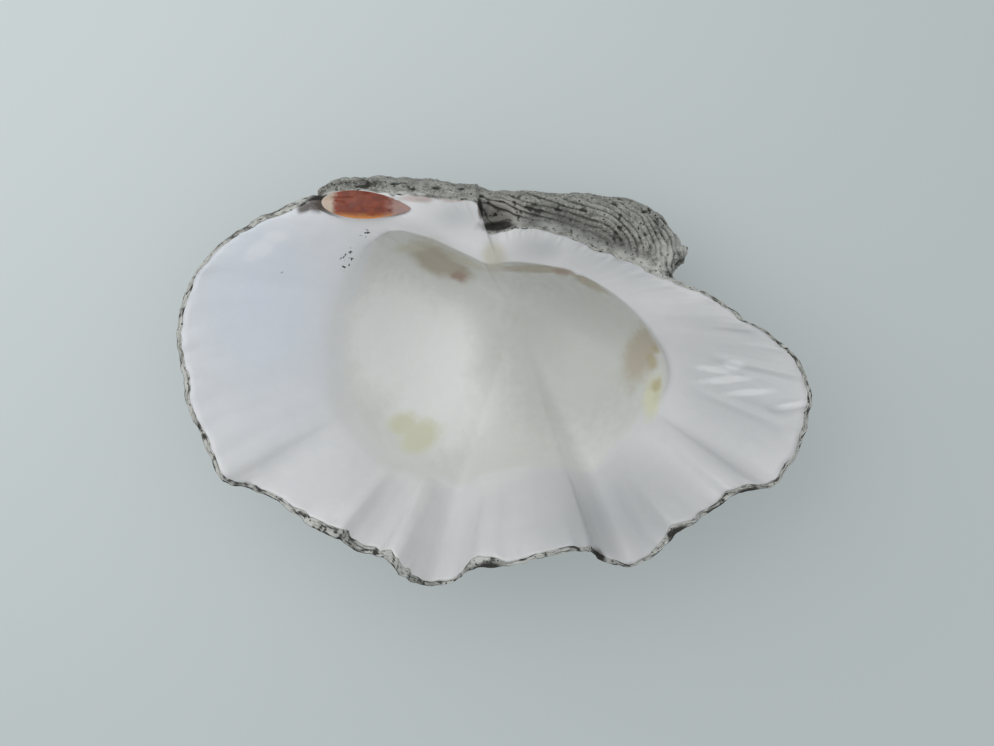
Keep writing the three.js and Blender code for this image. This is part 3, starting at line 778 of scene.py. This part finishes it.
def weatheredShell():
    # the old outside: chalky, bored and overgrown, so it is dull grey and pitted with pale worn tops
    material, tree, surface = newMaterial("weathered_outer_shell")
    place = addNode(tree, "TexCoord", out="Object")
    mark = {name: addNode(tree, "Attribute", out="Fac", attribute_name=name)
            for name in ("onEdge", "pocketWall", "groove", "paintedGrooveShade", "eroded", "shadowAndDarkSpots")}
    coarse, fine = [
        addNode(tree, "TexNoise",
                {"Vector": place, "Scale": 1 / (size * mm), "Detail": detail, "Roughness": rough})
        for size, detail, rough in ((9, 6, 0.65), (1.3, 5, 0.7))]
    tops, edgeTops, wornTops, pitTops = [
        addNode(tree, "MapRange", {0: coarse, 1: low, 2: high, 4: most}, **eased)
        for low, high, most in ((0.3, 0.7, 1), (0.3, 0.55, 1), (0.35, 0.6, 0.75), (0.45, 0.6, 1))]
    # the first share paints shade in the grooves, under the scales, in the pits and between the edge's
    # layers, and darkens the ligament's groove; the second paints the shadow of the beak's pocket and the
    # dark spots; fine noise breaks both up
    dark, shadowAndSpotShare = [addNode(tree, "Math", {0: fine, 1: -0.3, 2: mark[name]}, **scaledSum)
                   for name in ("groove", "shadowAndDarkSpots")]
    # round pits, cut into the bump and painted dark as the shade in the holes
    holes = addNode(tree, "TexVoronoi", {"Vector": place, "Scale": 1 / (2.2 * mm)})
    roundHoles = addNode(tree, "MapRange", {0: holes, 1: 0.28, 2: 0.12}, **eased)
    onEdge, inPocket, paintedGrooveShade, worn, pits = [
        addNode(tree, "Math", {0: a, 1: b}, **product)
        for a, b in ((mark["onEdge"], edgeTops), (mark["pocketWall"], 0.9), (mark["paintedGrooveShade"], 0.6),
                     (mark["eroded"], wornTops), (roundHoles, pitTops))]
    layers = [(tops, "a3a39d"),
              (addNode(tree, "MapRange", {0: fine, 1: 0.45, 2: 0.7}, **eased), "bfbfb9"),
              (onEdge, "cdcec9"), (inPocket, "aca8a3"),
              (addNode(tree, "MapRange", {0: dark, 1: 0, 2: 0.6}, **eased), "3a3a35"),
              (paintedGrooveShade, "4c4c48"), (worn, "cbcbc6"),
              (addNode(tree, "MapRange", {0: shadowAndSpotShare, 1: 0, 2: 0.5}, **eased), "33322f"),
              (pits, "2a2a27")]
    height = addNode(tree, "Math", {0: coarse, 1: 1.2, 2: fine}, **scaledSum)
    height = addNode(tree, "Math", {0: height, 1: pits}, operation="SUBTRACT")
    setInputs(tree, surface, {
        "Base Color": laidOver(tree, "686863", layers),
        "Roughness": 0.92,
        "IOR": 1.5,
        "Normal": addNode(tree, "Bump", {"Height": height, "Strength": 0.9, "Distance": 0.9 * mm})})
    return material


def driedLigament():
    # dried conchiolin: hard, glossy and clear like dark amber, pale where it has frayed
    material, tree, surface = newMaterial("dried_ligament")
    place = addNode(tree, "TexCoord", out="Object")
    fibres = addNode(tree, "TexNoise", {"Vector": place, "Scale": 1 / (4 * mm), "Detail": 4, **grain})
    along, across = [addNode(tree, "Attribute", out="Fac", attribute_name=name)
                     for name in ("alongBand", "acrossBand")]
    layers = [(addNode(tree, "MapRange", {0: fibres, 1: 0.35, 2: 0.65}, **eased), "86391a")]
    for where, weight, low, high, most, tint in (
            (across, 0.5, -0.25, -0.7, 1, "c08040"),        # the thin clear lower side
            (along, 0.5, -0.35, -0.6, 0.85, "cbbcab"),      # the bleached end
            (along, 0.6, 0.7, 1.05, 0.8, "a58d86")):        # the frayed end
        ragged = addNode(tree, "Math", {0: fibres, 1: weight, 2: where}, **scaledSum)
        layers.append((addNode(tree, "MapRange", {0: ragged, 1: low, 2: high, 4: most}, **eased), tint))
    setInputs(tree, surface, {
        "Base Color": laidOver(tree, "6f2a13", layers),
        "Roughness": 0.38,
        "IOR": 1.5,
        "Subsurface Weight": 0.35, "Subsurface Radius": (1, 0.35, 0.15), "Subsurface Scale": 0.002,
        "Normal": addNode(tree, "Bump", {"Height": fibres, "Strength": 0.35, "Distance": 0.5 * mm})})
    return material


def milkyTable():
    # a milky light table: its own glow keeps shadows faint, a little brighter towards the window
    material, tree, surface = newMaterial("milky_light_table")
    place = addNode(tree, "TexCoord", out="Object")
    fromWindow = addNode(tree, "VectorMath", {0: place, 1: (-0.26, 0.2, 0)}, "Value", operation="DISTANCE")
    away = addNode(tree, "MapRange", {0: fromWindow, 1: 0, 2: 0.62}, **eased)
    setInputs(tree, surface, {
        "Base Color": laidOver(tree, "a2aaab", [(away, "909899")]),
        "Emission Color": laidOver(tree, "d9dfe0", [(away, "c4cbcc")]),
        "Emission Strength": 0.36,
        "Roughness": 0.85})
    return material


# the pieces: lift is the move from the meeting plane's frame to the solid's
valve, lift = makeValve()
valve.data.materials.append(weatheredShell())
valve.data.materials.append(porcelainAragonite())
insideShare = np.empty(len(valve.data.vertices), np.float32)
valve.data.attributes["inside"].data.foreach_get("value", insideShare)
for face in valve.data.polygons:
    face.material_index = int(min(insideShare[k] for k in face.vertices) > 0.5)
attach(valve, "root")
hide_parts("valve")
print("valve made:", len(valve.data.polygons), "faces")

band = makeLigament(lift)
band.data.materials.append(driedLigament())
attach(band, "root")
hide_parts("ligament")
print("ligament made:", len(band.data.polygons), "faces")

deselect()
bpy.ops.mesh.primitive_plane_add(size=6, location=(0, 0, -0.0004))
table = bpy.context.object
table.name = "table"
table.data.materials.append(milkyTable())

lamps = {
    "window": {"place": (-0.85, 0.6, 1.3), "size": 1.6, "power": 8},
    "ceiling": {"place": (-0.3, 0.15, 2.2), "size": 2.8, "power": 9},
}
for name, lamp in lamps.items():
    bpy.ops.object.light_add(type="AREA", location=lamp["place"])
    light = bpy.context.object
    light.name = name
    light.data.size = lamp["size"]
    light.data.energy = lamp["power"]
    light.rotation_euler = (-light.location).to_track_quat("-Z", "Y").to_euler()

world = bpy.context.scene.world or bpy.data.worlds.new("room")
bpy.context.scene.world = world
world.use_nodes = True
sky = world.node_tree.nodes["Background"]
sky.inputs["Color"].default_value = linear("ebeeef")
sky.inputs["Strength"].default_value = 0.68

view = {
    "above": 1.2,             # metres over the margin
    "fieldWidth": 469,        # mm of the margin's plane, side to side
    "centre": (1.4, 3.6),     # mm
    "sensor": 36,
}
bpy.ops.object.camera_add(location=(view["centre"][0] * mm, view["centre"][1] * mm,
                                    view["above"] + shell["restingHeight"] * mm))
camera = bpy.context.object
camera.data.sensor_width = view["sensor"]
camera.data.lens = view["sensor"] * view["above"] / (view["fieldWidth"] * mm)
camera.rotation_euler = (0, 0, 0)
bpy.context.scene.camera = camera
bpy.context.scene.view_settings.view_transform = "Standard"
print("table, lamps and camera set")

bpy.context.view_layer.update()
